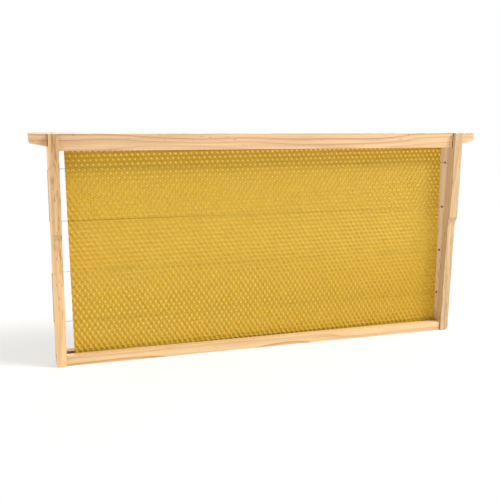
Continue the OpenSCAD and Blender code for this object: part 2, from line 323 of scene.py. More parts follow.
def planed_pine(stick):
    """Pine for one stick, sawn from its own place in the log."""
    material, tree = new_material("planed_pine_" + stick["node"])
    spot = add(tree, "ShaderNodeTexCoord").outputs
    split = add(tree, "ShaderNodeSeparateXYZ", {0: spot["Object"]}).outputs
    along, across, over = "XYZ" if stick["grain"] == "X" else "ZXY"
    board = add(tree, "ShaderNodeCombineXYZ", {
        0: split[along], 1: split[across], 2: split[over]}).outputs[0]

    def stretched(long, wide, detail, start):
        """Noise drawn out along the grain, with features of these two sizes."""
        scaled = add(tree, "ShaderNodeMapping", {
            "Vector": board,
            "Location": (stick["seed"] + start, SEED_STEP * stick["seed"], START_STEP * start),
            "Scale": (1 / (long * MM), 1 / (wide * MM), 1 / (wide * MM))})
        return add(tree, "ShaderNodeTexNoise", {
            "Vector": scaled.outputs[0], "Scale": 1.0, "Detail": detail,
            "Roughness": GRAIN_ROUGHNESS}).outputs["Fac"]

    wave = stretched(*WAVE)
    fibre = stretched(*FIBRE)
    streak = stretched(*STREAK)
    dash = stretched(*DASH)

    # Yearly rings about the pith, bent by the wave of the trunk and of uneven width and strength.
    pith = stick["pith"]
    from_pith = add(tree, "ShaderNodeMapping", {
        "Vector": board, "Location": (0, -pith[0] * MM, -pith[1] * MM), "Scale": (0, 1, 1)})
    radius = add(tree, "ShaderNodeVectorMath", {0: from_pith.outputs[0]}, operation="LENGTH")
    bent = add(tree, "ShaderNodeMath", {0: wave, 1: WAVE_HEIGHT * MM, 2: radius.outputs["Value"]},
               operation="MULTIPLY_ADD")
    uneven = add(tree, "ShaderNodeTexNoise", {
        "W": bent.outputs[0], "Scale": 1 / (RING_SPREAD * MM), "Detail": 1.0}, noise_dimensions="1D")
    spaced = add(tree, "ShaderNodeMath", {
        0: uneven.outputs["Fac"], 1: RING_UNEVEN * MM, 2: bent.outputs[0]}, operation="MULTIPLY_ADD")
    years = add(tree, "ShaderNodeMath", {0: spaced.outputs[0], 1: stick["ring"] * MM}, operation="DIVIDE")
    season = add(tree, "ShaderNodeMath", {0: years.outputs[0]}, operation="FRACT")
    autumn = add(tree, "ShaderNodeValToRGB", {0: season.outputs[0]})
    set_stops(autumn, AUTUMN_STOPS)
    year = add(tree, "ShaderNodeMath", {0: years.outputs[0]}, operation="FLOOR")
    chance = add(tree, "ShaderNodeTexWhiteNoise", {"W": year.outputs[0]}, noise_dimensions="1D")
    strength = add(tree, "ShaderNodeMapRange", {"Value": chance.outputs["Value"], **RING_STRENGTH})
    line = add(tree, "ShaderNodeMath", {0: autumn.outputs[0], 1: strength.outputs[0]},
               operation="MULTIPLY")
    wood = add(tree, "ShaderNodeMix", {
        SHARE: line.outputs[0], FIRST: linear(stick["pale"]), SECOND: linear(stick["tan"])},
        data_type="RGBA")

    # Its tone slopes from end to end: partly the wood's own tone, partly painted light and shade for how
    # brightly each end is lit. Toward the bark, if the stick has that side, the sapwood is paler; on the
    # left end bar this paler band is also painted light on its outer side.
    low, high = stick["run"]
    tone_and_light_slope = add(tree, "ShaderNodeMapRange", {
        "Value": split[along], **dict(zip(SPAN, (low * MM, high * MM, *stick["tone"])))})
    bark, heart, most = stick["sapwood_and_lit_side"]
    sapwood_and_lit_side = add(tree, "ShaderNodeMapRange", {
        "Value": split["X"], **dict(zip(SPAN, (bark * MM, heart * MM, most, 0.0)))})
    tone = add(tree, "ShaderNodeMix", {
        "Factor": sapwood_and_lit_side.outputs[0], "A": tone_and_light_slope.outputs[0], "B": LIT_SIDE_TONE})
    grey = add(tree, "ShaderNodeMapRange", {"Value": streak, **STREAK_TONE})
    fine = add(tree, "ShaderNodeMapRange", {"Value": fibre, **FIBRE_TONE})
    mixed = add(tree, "ShaderNodeMath", {0: grey.outputs[0], 1: fine.outputs[0]}, operation="MULTIPLY")
    shade = add(tree, "ShaderNodeMath", {0: mixed.outputs[0], 1: tone.outputs[0]}, operation="MULTIPLY")
    streaked = add(tree, "ShaderNodeVectorMath", {0: wood.outputs[MIXED], "Scale": shade.outputs[0]},
                   operation="SCALE")

    # Resin dashes, as rare as each end of the stick has them, and rarer in the sapwood.
    rare = add(tree, "ShaderNodeMapRange", {
        "Value": split[along], **dict(zip(SPAN, (low * MM, high * MM, *stick["dashes"])))})
    rarer = add(tree, "ShaderNodeMath", {0: sapwood_and_lit_side.outputs[0], 1: SAPWOOD_CLEAN, 2: rare.outputs[0]},
                operation="MULTIPLY_ADD")
    over_rare = add(tree, "ShaderNodeMath", {0: dash, 1: rarer.outputs[0]}, operation="SUBTRACT")
    resin = add(tree, "ShaderNodeMapRange", {"Value": over_rare.outputs[0], **RESIN_SHARE})
    dashed = add(tree, "ShaderNodeMix", {
        SHARE: resin.outputs[0], FIRST: streaked.outputs[0], SECOND: linear(PINE_RESIN)}, data_type="RGBA")

    # Sawn grooves, drawn browner partly for the rough cut and partly as painted shade in their hollows,
    # and end grain.
    sawn = add(tree, "ShaderNodeAttribute", attribute_name="sawn")
    groove_shade = add(tree, "ShaderNodeMath", {0: sawn.outputs["Fac"], 1: SAWN_SHADE_SHARE}, operation="MULTIPLY")
    browned_and_shaded = add(tree, "ShaderNodeMix", {
        SHARE: groove_shade.outputs[0], FIRST: dashed.outputs[MIXED], SECOND: linear(PINE_SAWN_SHADE)},
        data_type="RGBA")
    facing = add(tree, "ShaderNodeSeparateXYZ", {0: spot["Normal"]}).outputs[along]
    upright = add(tree, "ShaderNodeMath", {0: facing}, operation="ABSOLUTE")
    end_grain = add(tree, "ShaderNodeMapRange", {"Value": upright.outputs[0], **END_GRAIN_TONE})
    colour = add(tree, "ShaderNodeVectorMath", {0: browned_and_shaded.outputs[MIXED], "Scale": end_grain.outputs[0]},
                 operation="SCALE")

    dull = add(tree, "ShaderNodeMapRange", {"Value": fibre, **FIBRE_DULL})
    relief = add(tree, "ShaderNodeMath", {0: line.outputs[0], 1: RING_RELIEF, 2: fibre},
                 operation="MULTIPLY_ADD")
    bump = add(tree, "ShaderNodeBump", {
        "Strength": PINE_BUMP_SHARE, "Distance": PINE_BUMP * MM, "Height": relief.outputs[0]})
    surface = add(tree, "ShaderNodeBsdfPrincipled", {
        "Base Color": colour.outputs[0], "Roughness": dull.outputs[0], "IOR": PINE_IOR,
        "Normal": bump.outputs[0]})
    add(tree, "ShaderNodeOutputMaterial", {"Surface": surface.outputs[0]})
    return material


# Stained pine: where the drill has burnt the wood red-brown, or along a joint, where glue has soaked in
# and the dark line is partly painted shade of the joint's gap. It shows as a dull, dark and slightly
# uneven brown with next to no gloss.
STAIN_DRILLED = "#9A4614"
STAIN_GLUE_GAP_SHADE = "#6C3812"
STAIN_MARK = 1.6
STAIN_TONE = dict(zip(SPAN, (0.35, 0.65, 0.84, 1.16)))
STAIN_DULL = dict(zip(SPAN, (0.3, 0.7, 0.92, 0.80)))
STAIN_GLOSS = 0.05
STAIN_BUMP = 0.05
STAIN_BUMP_SHARE = 0.5


def stained_pine(name, stain):
    """Pine darkened by the drill, or along a joint by glue and painted shade."""
    material, tree = new_material(name)
    spot = add(tree, "ShaderNodeTexCoord").outputs["Object"]
    blotch = add(tree, "ShaderNodeTexNoise", {
        "Vector": spot, "Scale": 1 / (STAIN_MARK * MM), "Detail": 2.0, "Roughness": 0.6}).outputs["Fac"]
    share = add(tree, "ShaderNodeMapRange", {"Value": blotch, **STAIN_TONE})
    colour = add(tree, "ShaderNodeVectorMath", {0: linear(stain)[:3], "Scale": share.outputs[0]},
                 operation="SCALE")
    dull = add(tree, "ShaderNodeMapRange", {"Value": blotch, **STAIN_DULL})
    bump = add(tree, "ShaderNodeBump", {
        "Strength": STAIN_BUMP_SHARE, "Distance": STAIN_BUMP * MM, "Height": blotch})
    surface = add(tree, "ShaderNodeBsdfPrincipled", {
        "Base Color": colour.outputs[0], "Roughness": dull.outputs[0], "IOR": PINE_IOR,
        "Specular IOR Level": STAIN_GLOSS, "Normal": bump.outputs[0]})
    add(tree, "ShaderNodeOutputMaterial", {"Surface": surface.outputs[0]})
    return material


# Wooden pieces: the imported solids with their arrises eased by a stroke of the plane. An edge is eased if
# it is long and sharp enough and lies between faces that are large enough.
ARRIS = 0.45
ARRIS_STEPS = 2
ARRIS_ROUND = 0.5
FLAT_TURN = math.radians(0.5)
EDGE_TURN = math.radians(40)
SMOOTH_TURN = math.radians(18)
SMALL_EDGE = 3.0
SMALL_FACE = 12.0
# Faces this near the middle of the frame's depth, and turned no more toward X than this, are grooves or
# holes. A glue line, which is partly painted shade of the joint's gap, is this wide.
SAWN_HALF = 4.3
SAWN_TURN = 0.7
SHADED_JOINT_LINE = 0.7
# The places of a stick's three materials.
PLANED, DRILLED, GAP_SHADED = range(3)
# Each stick: its node, the way and the ends of its grain, where the pith lies across the grain, its ring
# width, the seed of its patterns, how rare its resin dashes are at the two ends, its spring and autumn
# wood, its tone at the two ends, which is partly painted light and shade, and its sapwood band, which on
# the left end bar is also painted light: where along X that is full and gone, and how full.
STICKS = (
    {"node": "top_bar", "grain": "X", "run": (-241, 241), "pith": (58.0, 198.0), "ring": 1.9,
     "seed": 1.0, "dashes": (0.76, 0.80), "pale": "#F0C898", "tan": "#C88D54", "tone": (0.85, 1.01),
     "sapwood_and_lit_side": (-241, 241, 0.0)},
    {"node": "left_end_bar", "grain": "Z", "run": (0, 230), "pith": (-188.0, 56.0), "ring": 2.2,
     "seed": 2.0, "dashes": (0.76, 0.53), "pale": "#F0C68F", "tan": "#CB9354", "tone": (1.06, 0.70),
     "sapwood_and_lit_side": (-224, -220.5, 1.0)},
    {"node": "right_end_bar", "grain": "Z", "run": (0, 230), "pith": (248.0, 52.0), "ring": 2.4,
     "seed": 3.0, "dashes": (0.63, 0.82), "pale": "#EAC79A", "tan": "#C79563", "tone": (0.87, 0.91),
     "sapwood_and_lit_side": (224, 214.5, 0.0)},
    {"node": "bottom_bar", "grain": "X", "run": (-224, 224), "pith": (55.0, -18.0), "ring": 2.0,
     "seed": 4.0, "dashes": (0.80, 0.80), "pale": "#F1CC9A", "tan": "#BF864C", "tone": (0.91, 1.04),
     "sapwood_and_lit_side": (-224, 224, 0.0)},
)


def cut(shape, place, outward, clear=False):
    """Cuts a whole bmesh by a plane, and with clear takes away what lies outside it."""
    bmesh.ops.bisect_plane(shape, geom=shape.verts[:] + shape.edges[:] + shape.faces[:],
                           dist=CUT_NEAR * MM, plane_co=place, plane_no=outward, clear_outer=clear)


def eased(mesh, grain):
    """Rounds a solid's long edges a little; marks holes, and grooves and glue lines that are partly
    painted shade.
    """
    shape = bmesh.new()
    shape.from_mesh(mesh)
    bmesh.ops.remove_doubles(shape, verts=shape.verts, dist=MERGE * MM)
    bmesh.ops.dissolve_limit(shape, angle_limit=FLAT_TURN, verts=shape.verts, edges=shape.edges)
    # Where a lug leaves the left end bar and the two bars meet the right one, a dark glue line is painted,
    # partly as the shade in the joint's gap.
    seams = []
    if grain == "X":
        seams = [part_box(bar)[0].x - SHADED_JOINT_LINE * MM for bar in ("left_end_bar", "right_end_bar")]
    for seam in seams:
        cut(shape, (seam, 0, 0), (1, 0, 0))
    # Groove faces are marked to be drawn browner, partly as painted shade.
    sawn = shape.faces.layers.float.new("sawn")
    for face in shape.faces:
        narrow = all(abs(vert.co.y) < SAWN_HALF * MM for vert in face.verts)
        opened = narrow and abs(face.normal.x) < SAWN_TURN
        middle = face.calc_center_median().x
        face[sawn] = 1.0 if opened and grain == "X" else 0.0
        face.material_index = PLANED
        if opened and grain == "Z":
            face.material_index = DRILLED
        if any(seam < middle < seam + SHADED_JOINT_LINE * MM for seam in seams):
            face.material_index = GAP_SHADED
    arrises = []
    for edge in shape.edges:
        if len(edge.link_faces) != 2 or not edge.is_convex:
            continue
        wide = min(face.calc_area() for face in edge.link_faces) > SMALL_FACE * MM * MM
        if wide and edge.calc_length() > SMALL_EDGE * MM and edge.calc_face_angle() > EDGE_TURN:
            arrises.append(edge)
    bmesh.ops.bevel(shape, geom=arrises, offset=ARRIS * MM, offset_type="OFFSET", segments=ARRIS_STEPS,
                    profile=ARRIS_ROUND, affect="EDGES", clamp_overlap=True)
    made = bpy.data.meshes.new("eased")
    shape.to_mesh(made)
    shape.free()
    made.shade_smooth()
    made.set_sharp_from_angle(angle=SMOOTH_TURN)
    return made


def plane_sticks():
    """The four pine pieces."""
    drilled = stained_pine("drilled_pine", STAIN_DRILLED)
    # The dark joint line is partly glue and partly painted shade of the joint's gap.
    glue_gap_shaded = stained_pine("glued_pine", STAIN_GLUE_GAP_SHADE)
    for stick in STICKS:
        node = stick["node"]
        piece = new_object(node + "_planed", eased(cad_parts[node].data, stick["grain"]))
        weights = piece.modifiers.new("even shading", "WEIGHTED_NORMAL")
        weights.keep_sharp = True
        piece.data = plain_mesh(piece, node + "_planed")
        for finish in (planed_pine(stick), drilled, glue_gap_shaded):
            piece.data.materials.append(finish)
        hand_in(piece, "pine", node)


# Beeswax: yellow wax pressed between rollers, slightly clear, with a satin skin and cloudy patches.
# Painted
# light and shade on it: a paler bloom along the cell walls that is partly painted highlight, painted
# glints on one diamond of each cell toward the top and the foot, painted shade toward its head and foot,
# and beads over the wires drawn paler, with painted shade along one. Its skin's own grain is drawn as
# coarse as it needs to show.
WAX_GOLD = "#CBAC47"
WAX_DEEP = "#C8A844"
WAX_CLOUD = 34.0
WAX_PATCH = dict(zip(SPAN, (0.35, 0.65, 0.0, 1.0)))
# A paler bloom on the crests: partly the wax's own bloom, partly painted highlight.
WAX_BLOOM_HIGHLIGHT = "#F0D27A"
BLOOM_HIGHLIGHT_SHARE = dict(zip(SPAN, (0.45, 1.0, 0.0, 0.25)))
# Painted highlight: one diamond of each cell is drawn in a pale colour that stands in for glints.
WAX_PAINTED_GLINT = "#F0DB88"
# Where the painted glints begin and are full: going up, going down and going left.
GLINT_TOP = (100.0, 190.0)
GLINT_FOOT = (115.0, 50.0)
GLINT_SIDE = (420.0, -60.0)
GLINT_FOOT_GAIN = 1.7
GLINT_SHARE = dict(zip(SPAN, (0.15, 0.8, 0.0, 0.74)))
# Painted shade: how far the sheet is drawn toward a deeper tone at these shares of its height.
WAX_PAINTED_SHADE = "#BD9B2A"
PAINTED_SHADE_SHARE = (
    (0.0, 0.50), (0.20, 0.82), (0.50, 0.0), (0.66, 0.14), (0.80, 0.38), (0.90, 0.48), (1.0, 0.60))
WAX_GRAIN = 0.8
WAX_SKIN = dict(zip(SPAN, (0.3, 0.7, 0.18, 0.26)))
WAX_BUMP = 0.05
WAX_BUMP_SHARE = 0.3
WAX_IOR = 1.44
WAX_DEPTH = 1.8
WAX_CLEAR = 0.65
WAX_REACH = (1.0, 0.9, 0.45)
WAX_GLINT = "#FFEDC0"
# The beads over the wires, marked apart from the sheet, and more so where a line of painted shade runs
# along a wire. A bead is drawn a little paler than the sheet, as painted light for the light it does not
# pass.
WAX_BEAD_LIT = "#D8B040"
WAX_WIRE_SHADE = "#AC8424"
BEAD_MARK = -1.0
WIRE_SHADE_MARK = -2.0


def rolled_beeswax():
    """The wax of the foundation."""
    material, tree = new_material("rolled_beeswax")
    spot = add(tree, "ShaderNodeTexCoord").outputs["Object"]
    cloud = add(tree, "ShaderNodeTexNoise", {
        "Vector": spot, "Scale": 1 / (WAX_CLOUD * MM), "Detail": 3.0, "Roughness": 0.6})
    grain = add(tree, "ShaderNodeTexNoise", {
        "Vector": spot, "Scale": 1 / (WAX_GRAIN * MM), "Detail": 1.0}).outputs["Fac"]
    patch = add(tree, "ShaderNodeMapRange", {"Value": cloud.outputs["Fac"], **WAX_PATCH})
    body = add(tree, "ShaderNodeMix", {
        SHARE: patch.outputs[0], FIRST: linear(WAX_DEEP), SECOND: linear(WAX_GOLD)}, data_type="RGBA")
    press = add(tree, "ShaderNodeAttribute", attribute_name="press")
    crest, right, left = add(tree, "ShaderNodeSeparateXYZ", {0: press.outputs["Vector"]}).outputs
    bloom_highlight = add(tree, "ShaderNodeMapRange", {"Value": crest, **BLOOM_HIGHLIGHT_SHARE})
    bloom_highlighted = add(tree, "ShaderNodeMix", {
        SHARE: bloom_highlight.outputs[0], FIRST: body.outputs[MIXED], SECOND: linear(WAX_BLOOM_HIGHLIGHT)}, data_type="RGBA")

    # Painted highlight: the right-hand diamonds are drawn pale near the top and the left-hand ones near
    # the foot and the left, as glints.
    place = add(tree, "ShaderNodeSeparateXYZ", {0: spot}).outputs
    up, down, west = [
        add(tree, "ShaderNodeMapRange", {
            "Value": place[axis], "From Min": begin * MM, "From Max": full * MM}).outputs[0]
        for axis, (begin, full) in (("Z", GLINT_TOP), ("Z", GLINT_FOOT), ("X", GLINT_SIDE))]
    high_glint = add(tree, "ShaderNodeMath", {0: right, 1: up}, operation="MULTIPLY")
    low_glint = add(tree, "ShaderNodeMath", {0: down, 1: west}, operation="MULTIPLY")
    wider = add(tree, "ShaderNodeMath", {0: low_glint.outputs[0], 1: GLINT_FOOT_GAIN}, operation="MULTIPLY")
    painted_glint = add(tree, "ShaderNodeMath", {0: left, 1: wider.outputs[0], 2: high_glint.outputs[0]},
               operation="MULTIPLY_ADD")
    # The share of the pale painted glint colour.
    clear = add(tree, "ShaderNodeMapRange", {"Value": painted_glint.outputs[0], **GLINT_SHARE})

    # Painted shade: it is drawn deeper in tone toward its head and foot.
    low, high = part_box("foundation_sheet")
    part = add(tree, "ShaderNodeMapRange", {"Value": place["Z"], "From Min": low.z, "From Max": high.z})
    # The share of painted shade at this height.
    thick = add(tree, "ShaderNodeValToRGB", {0: part.outputs[0]})
    set_stops(thick, PAINTED_SHADE_SHARE)
    shaded = add(tree, "ShaderNodeMix", {
        SHARE: thick.outputs[0], FIRST: bloom_highlighted.outputs[MIXED], SECOND: linear(WAX_PAINTED_SHADE)},
        data_type="RGBA")
    colour = add(tree, "ShaderNodeMix", {
        SHARE: clear.outputs[0], FIRST: shaded.outputs[MIXED], SECOND: linear(WAX_PAINTED_GLINT)}, data_type="RGBA")

    # Only the sheet passes light. The beads along the wires are dull, a little paler as painted light, and
    # darker as painted shade where marked.
    wire_shade = add(tree, "ShaderNodeMapRange", {"Value": crest, "From Min": BEAD_MARK, "From Max": WIRE_SHADE_MARK})
    seam = add(tree, "ShaderNodeMix", {
        SHARE: wire_shade.outputs[0], FIRST: linear(WAX_BEAD_LIT), SECOND: linear(WAX_WIRE_SHADE)}, data_type="RGBA")
    bead = add(tree, "ShaderNodeMapRange", {"Value": crest, **dict(zip(SPAN, (BEAD_MARK, 0.0, 1.0, 0.0)))})
    shown = add(tree, "ShaderNodeMix", {
        SHARE: bead.outputs[0], FIRST: colour.outputs[MIXED], SECOND: seam.outputs[MIXED]},
        data_type="RGBA")
    passed = add(tree, "ShaderNodeMapRange", {
        "Value": crest, **dict(zip(SPAN, (BEAD_MARK, 0.0, 0.0, WAX_CLEAR)))})
    skin = add(tree, "ShaderNodeMapRange", {"Value": grain, **WAX_SKIN})
    bump = add(tree, "ShaderNodeBump", {
        "Strength": WAX_BUMP_SHARE, "Distance": WAX_BUMP * MM, "Height": grain})
    surface = add(tree, "ShaderNodeBsdfPrincipled", {
        "Base Color": shown.outputs[MIXED], "Roughness": skin.outputs[0], "IOR": WAX_IOR,
        "Subsurface Weight": passed.outputs[0], "Subsurface Radius": WAX_REACH,
        "Subsurface Scale": WAX_DEPTH * MM, "Specular Tint": linear(WAX_GLINT),
        "Normal": bump.outputs[0]})
    add(tree, "ShaderNodeOutputMaterial", {"Surface": surface.outputs[0]})
    return material


# Foundation: six-sided cells pressed into both faces of the sheet, each with a floor of three diamonds.
# A back cell's middle lies behind the corner where three front cells meet.
CELL_PITCH = 5.46
ROW_PITCH = 4.48
CELL_COLUMNS = 81
CELL_ROWS = 51
LATTICE_TURN = math.radians(0.84)
CORNERS = 6
# How far the floor's corners rise from its middle, half the wax that is left between two floors, how far
# the crest of a wall stands from the sheet's middle, and how far out from a cell's middle its wall begins.
FLOOR_RISE = 0.68
FLOOR_HALF = 0.25
CREST_HEIGHT = 1.0
WALL_FOOT = 0.92
# What the press attribute says at the foot and the crest of a wall, and how far to a side a diamond leans
# to count as a right-hand or left-hand one, which is given a painted glint.
FOOT_MARK = 0.3
CREST_MARK = 1.0
SLANT = 0.5
# The beads of wax over the wires, and how each is marked at its left and right ends, from the top down.
WIRES = 4
BEAD_RADIUS = 0.42
BEAD_SIDES = 10
BEAD_INSET = 0.3
BEAD_ENDS = (
    (BEAD_MARK, BEAD_MARK), (WIRE_SHADE_MARK, BEAD_MARK), (BEAD_MARK, BEAD_MARK), (BEAD_MARK, BEAD_MARK))


def foundation_cell():
    """One cell, front and back, drawn in the plane of the sheet with the front facing -Y."""
    # A corner lies a pitch over root three, or two thirds of a row, from the middle; the first points up.
    corner_x = CELL_PITCH / math.sqrt(3) * MM
    corner_z = ROW_PITCH / 1.5 * MM
    ways = [math.radians(90 + 360 / CORNERS * k) for k in range(CORNERS)]
    points, faces, marks = [], [], []
    for side, raised, lift in ((1, 1, 0.0), (-1, 0, -corner_z)):
        first = len(points)
        points.append((0, side * (FLOOR_RISE - FLOOR_HALF) * MM, lift))
        marks.append((0.0, 0.0, 0.0))
        for k, way in enumerate(ways):
            corner = FLOOR_RISE if k % 2 == raised else 0.0
            foot = -FLOOR_RISE + WALL_FOOT * (corner + FLOOR_RISE) + FLOOR_HALF
            points.append((WALL_FOOT * corner_x * math.cos(way), -side * foot * MM,
                           lift + WALL_FOOT * corner_z * math.sin(way)))
            marks.append((FOOT_MARK, 0.0, 0.0))
        for way in ways:
            points.append((corner_x * math.cos(way), -side * CREST_HEIGHT * MM,
                           lift + corner_z * math.sin(way)))
            marks.append((CREST_MARK, 0.0, 0.0))
        rim = [first + 1 + k for k in range(CORNERS)]
        top = [first + 1 + CORNERS + k for k in range(CORNERS)]
        for k in range(CORNERS):
            after = (k + 1) % CORNERS
            wall = [rim[k], top[k], top[after], rim[after]]
            faces.append(wall if side > 0 else wall[::-1])
            if k % 2 != raised:
                continue
            diamond = [first, rim[k - 1], rim[k], rim[after]]
            hub = len(points)
            points.append(tuple(sum(points[i][axis] for i in diamond) / len(diamond) for axis in range(3)))
            lean = math.cos(ways[k])
            marks.append((0.0, 1.0 if lean > SLANT else 0.0, 1.0 if lean < -SLANT else 0.0))
            for i in range(len(diamond)):
                part = [diamond[i - 1], diamond[i], hub]
                faces.append(part if side > 0 else part[::-1])
    mesh = bpy.data.meshes.new("foundation_cell")
    mesh.from_pydata(points, [], faces)
    # Per point: how near the crest it lies, and the middles of the diamonds to the right and left, which
    # get painted glints.
    press = mesh.attributes.new("press", "FLOAT_VECTOR", "POINT")
    press.data.foreach_set("vector", [value for mark in marks for value in mark])
    return mesh


def cell_lattice():
    """Sets one cell out in staggered rows, turns the whole and joins the cells at their crests."""
    tree, given = new_tree("cell_lattice", (
        ("Columns", "NodeSocketInt"), ("Rows", "NodeSocketInt"), ("Cell Pitch", "NodeSocketFloat"),
        ("Row Pitch", "NodeSocketFloat"), ("Turn", "NodeSocketVector"), ("Middle", "NodeSocketVector"),
        ("Join", "NodeSocketFloat"), ("Material", "NodeSocketMaterial")))
    wide = add(tree, "ShaderNodeMath", {0: given["Columns"], 1: 1.0}, operation="SUBTRACT")
    high = add(tree, "ShaderNodeMath", {0: given["Rows"], 1: 1.0}, operation="SUBTRACT")
    size_x = add(tree, "ShaderNodeMath", {0: wide.outputs[0], 1: given["Cell Pitch"]},
                 operation="MULTIPLY")
    size_z = add(tree, "ShaderNodeMath", {0: high.outputs[0], 1: given["Row Pitch"]},
                 operation="MULTIPLY")
    grid = add(tree, "GeometryNodeMeshGrid", {
        "Size X": size_x.outputs[0], "Size Y": size_z.outputs[0],
        "Vertices X": given["Columns"], "Vertices Y": given["Rows"]})
    # Every second row steps half a cell to the right, and the grid is stood upright.
    number = add(tree, "GeometryNodeInputIndex")
    row = add(tree, "ShaderNodeMath", {0: number.outputs[0], 1: given["Rows"]}, operation="MODULO")
    odd = add(tree, "ShaderNodeMath", {0: row.outputs[0], 1: 2.0}, operation="MODULO")
    half = add(tree, "ShaderNodeMath", {0: given["Cell Pitch"], 1: 0.5}, operation="MULTIPLY")
    step = add(tree, "ShaderNodeMath", {0: odd.outputs[0], 1: half.outputs[0]}, operation="MULTIPLY")
    here = add(tree, "ShaderNodeSeparateXYZ", {0: add(tree, "GeometryNodeInputPosition").outputs[0]})
    across = add(tree, "ShaderNodeMath", {0: here.outputs["X"], 1: step.outputs[0]}, operation="ADD")
    stood = add(tree, "ShaderNodeCombineXYZ", {"X": across.outputs[0], "Z": here.outputs["Y"]})
    points = add(tree, "GeometryNodeSetPosition", {
        "Geometry": grid.outputs["Mesh"], "Position": stood.outputs[0]})
    cells = add(tree, "GeometryNodeInstanceOnPoints", {
        "Points": points.outputs[0], "Instance": given["Geometry"]})
    real = add(tree, "GeometryNodeRealizeInstances", {"Geometry": cells.outputs[0]})
    turned_sheet = add(tree, "GeometryNodeTransform", {
        "Geometry": real.outputs[0], "Rotation": given["Turn"], "Translation": given["Middle"]})
    joined = add(tree, "GeometryNodeMergeByDistance", {
        "Geometry": turned_sheet.outputs[0], "Distance": given["Join"]})
    dressed = add(tree, "GeometryNodeSetMaterial", {
        "Geometry": joined.outputs[0], "Material": given["Material"]})
    add(tree, "NodeGroupOutput", {"Geometry": dressed.outputs[0]})
    return tree


def sheet_corners():
    """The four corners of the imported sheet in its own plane, anticlockwise from the lower left."""
    points = [v.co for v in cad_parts["foundation_sheet"].data.vertices]
    low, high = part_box("foundation_sheet")
    near = MERGE * MM
    bottom = [p.x for p in points if p.z < low.z + near]
    top = [p.x for p in points if p.z > high.z - near]
    return [Vector((min(bottom), 0, low.z)), Vector((max(bottom), 0, low.z)),
            Vector((max(top), 0, high.z)), Vector((min(top), 0, high.z))]


def boundary_loop(start):
    """The open edge of one face of the sheet, as its vertices in order."""
    loop = [start]
    edge = next(e for e in start.link_edges if e.is_boundary)
    while True:
        point = edge.other_vert(loop[-1])
        if point is start:
            return loop
        loop.append(point)
        edge = next(e for e in point.link_edges if e.is_boundary and e is not edge)


def trim_sheet(mesh):
    """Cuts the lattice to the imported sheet's four edges and closes the cut rim."""
    corners = sheet_corners()
    sides = list(zip(corners, corners[1:] + corners[:1]))
    shape = bmesh.new()
    shape.from_mesh(mesh)
    for start, end in sides:
        run = end - start
        cut(shape, start, Vector((run.z, 0, -run.x)).normalized(), clear=True)

    def round_rim(vert):
        """How far round the rim a cut point lies."""
        passed = 0.0
        best = None
        for start, end in sides:
            run = end - start
            flat = Vector((vert.co.x, 0, vert.co.z)) - start
            part = max(0.0, min(run.length, flat.dot(run.normalized())))
            gap = (flat - run.normalized() * part).length
            if best is None or gap < best[0] - CUT_NEAR * MM:
                best = (gap, passed + part)
            passed += run.length
        return best[1]

    loops = []
    seen = set()
    for vert in shape.verts:
        if vert.is_boundary and vert not in seen:
            loop = boundary_loop(vert)
            seen.update(loop)
            loops.append(loop)
    loops.sort(key=lambda loop: sum(v.co.y for v in loop) / len(loop))
    front, back = [sorted(((round_rim(v), v) for v in loop), key=lambda p: p[0]) for loop in loops]
    whole = sum((end - start).length for start, end in sides)
    front.append((front[0][0] + whole, front[0][1]))
    back.append((back[0][0] + whole, back[0][1]))
    # A triangle goes to whichever face has the nearer next point, until both are back at the start.
    i = j = 0
    while i < len(front) - 1 or j < len(back) - 1:
        use_front = j == len(back) - 1 or (i < len(front) - 1 and front[i + 1][0] <= back[j + 1][0])
        if use_front:
            shape.faces.new((front[i + 1][1], front[i][1], back[j][1]))
            i += 1
        else:
            shape.faces.new((back[j][1], back[j + 1][1], front[i][1]))
            j += 1
    shape.to_mesh(mesh)
    shape.free()


def bead_tree():
    """Runs a round bead of wax along each line it is given."""
    tree, given = new_tree("wax_seam", (("Radius", "NodeSocketFloat"), ("Material", "NodeSocketMaterial")))
    path = add(tree, "GeometryNodeMeshToCurve", {"Mesh": given["Geometry"]})
    ring = add(tree, "GeometryNodeCurvePrimitiveCircle", {
        "Resolution": BEAD_SIDES, "Radius": given["Radius"]})
    bead = add(tree, "GeometryNodeCurveToMesh", {
        "Curve": path.outputs[0], "Profile Curve": ring.outputs[0], "Fill Caps": True})
    real = add(tree, "GeometryNodeRealizeInstances", {"Geometry": bead.outputs[0]})
    dressed = add(tree, "GeometryNodeSetMaterial", {
        "Geometry": real.outputs[0], "Material": given["Material"]})
    add(tree, "NodeGroupOutput", {"Geometry": dressed.outputs[0]})
    return tree


def wire_beads(material):
    """Beads of melted wax that bury the wire where it crosses the sheet."""
    corners = sheet_corners()
    points = []
    for i in range(1, WIRES + 1):
        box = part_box(f"left_eyelet_{i}")
        height = (box[0].z + box[1].z) / 2
        for low, high, inward in ((corners[0], corners[3], 1), (corners[1], corners[2], -1)):
            part = (height - low.z) / (high.z - low.z)
            edge = low.x + part * (high.x - low.x)
            points.append((edge + inward * BEAD_INSET * MM, 0.0, height))
    mesh = bpy.data.meshes.new("wire_seams")
    mesh.from_pydata(points, [(i, i + 1) for i in range(0, len(points), 2)], [])
    host = new_object("wire_seams", mesh)
    made = run_tree(host, bead_tree(), {"Radius": BEAD_RADIUS * MM, "Material": material})
    bpy.data.objects.remove(host)
    return made


